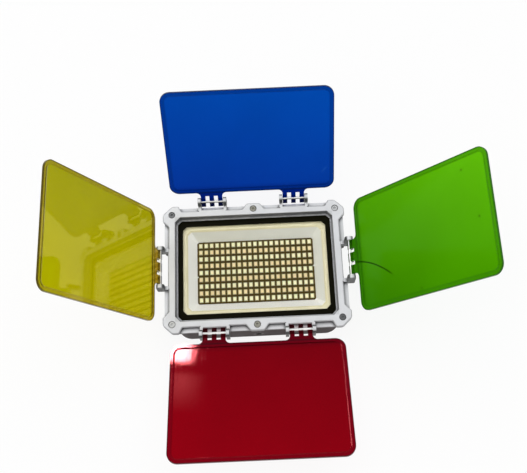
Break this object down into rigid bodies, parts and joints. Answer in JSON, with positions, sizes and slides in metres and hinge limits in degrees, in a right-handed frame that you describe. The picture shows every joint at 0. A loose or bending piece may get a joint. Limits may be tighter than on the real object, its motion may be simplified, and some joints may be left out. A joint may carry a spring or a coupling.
{
  "type": "led panel light",
  "caption": "Small rectangular rechargeable LED panel light with a cast bezel and coloured clear filters that flip over its lit face on clip hinges.",
  "frame": {"origin": "centre of the flat back, on its outer face", "axes": "+Z out of the lit face, +X along the long side towards the green filter, +Y towards the blue filter"},
  "size_m": [0.2805, 0.2511, 0.1727],
  "materials": {
    "cast_grey": "satin dark grey paint on die-cast alloy",
    "cast_silver": "fine satin silver paint on die-cast alloy",
    "steel": "bright zinc-plated steel",
    "black_silicone": "matte",
    "clear_glass": "polished",
    "reflector_white": "satin white",
    "board_black": "dark solder mask",
    "led_cool": "cream phosphor in a white package",
    "led_warm": "peach phosphor in a white package",
    "heat_pad": "matte grey",
    "lead_red": "satin insulation",
    "cell_wrap": "shrink wrap",
    "nickel": "nickel strip",
    "black_plastic": "fine texture",
    "board_green": "green solder mask",
    "coil_dark": "ferrite",
    "capacitor_alloy": "bright sleeve",
    "port_steel": "drawn shell",
    "lens_clear": "clear",
    "brass": "turned",
    "filter_blue": "transparent coloured sheet",
    "filter_yellow": "transparent coloured sheet",
    "filter_red": "transparent coloured sheet",
    "filter_green": "transparent coloured sheet"
  },
  "bodies": {
    "root": {"rear_housing": "cast_grey", "bezel_frame": "cast_silver", "bezel_screws": "steel", "glass_seal": "black_silicone", "front_glass": "clear_glass", "reflector_tray": "reflector_white", "led_board": "board_black", "cool_leds": "led_cool", "warm_leds": "led_warm", "thermal_pad": "heat_pad", "board_screws": "steel", "led_leads": "lead_red", "battery_cells": "cell_wrap", "cell_strips": "nickel", "battery_holder": "black_plastic", "battery_leads": "lead_red", "driver_board": "board_green", "driver_screws": "steel", "driver_coil": "coil_dark", "driver_capacitors": "capacitor_alloy", "driver_chips": "black_plastic", "charging_port": "port_steel", "charge_lens": "lens_clear", "power_switch": "black_plastic", "tripod_insert": "brass", "back_cover": "cast_grey", "cover_seal": "black_silicone", "cover_screws": "steel", "blue_hinge_bars": "steel", "yellow_hinge_bars": "steel", "red_hinge_bars": "steel", "green_hinge_bars": "steel"},
    "blue_filter": {"blue_filter": "filter_blue"},
    "yellow_filter": {"yellow_filter": "filter_yellow"},
    "red_filter": {"red_filter": "filter_red"},
    "green_filter": {"green_filter": "filter_green"},
    "power_button": {"power_button": "black_plastic"},
    "port_cover": {"port_cover": "black_silicone"}
  },
  "joints": [
    {"name": "blue_filter_hinge", "type": "hinge", "parent": "root", "child": "blue_filter", "pos_m": [0, 0.0515, 0.0484], "axis": [-1, 0, 0], "range_deg": [-128.2, 71.8]},
    {"name": "yellow_filter_hinge", "type": "hinge", "parent": "root", "child": "yellow_filter", "pos_m": [-0.0712, 0, 0.0504], "axis": [0, -1, 0], "range_deg": [-114.5, 85.5]},
    {"name": "red_filter_hinge", "type": "hinge", "parent": "root", "child": "red_filter", "pos_m": [0, -0.0515, 0.0524], "axis": [1, 0, 0], "range_deg": [-163.4, 36.6]},
    {"name": "green_filter_hinge", "type": "hinge", "parent": "root", "child": "green_filter", "pos_m": [0.0712, 0, 0.0544], "axis": [0, 1, 0], "range_deg": [-127.3, 72.7]},
    {"name": "power_button_press", "type": "slide", "parent": "root", "child": "power_button", "axis": [0, -1, 0], "range_m": [0, 0.0007], "stiffness_N_per_m": 500, "springref_m": -0.001},
    {"name": "port_cover_hinge", "type": "hinge", "parent": "root", "child": "port_cover", "pos_m": [-0.02275, 0.046, 0], "axis": [0, 0, 1], "range_deg": [0, 120]}
  ]
}
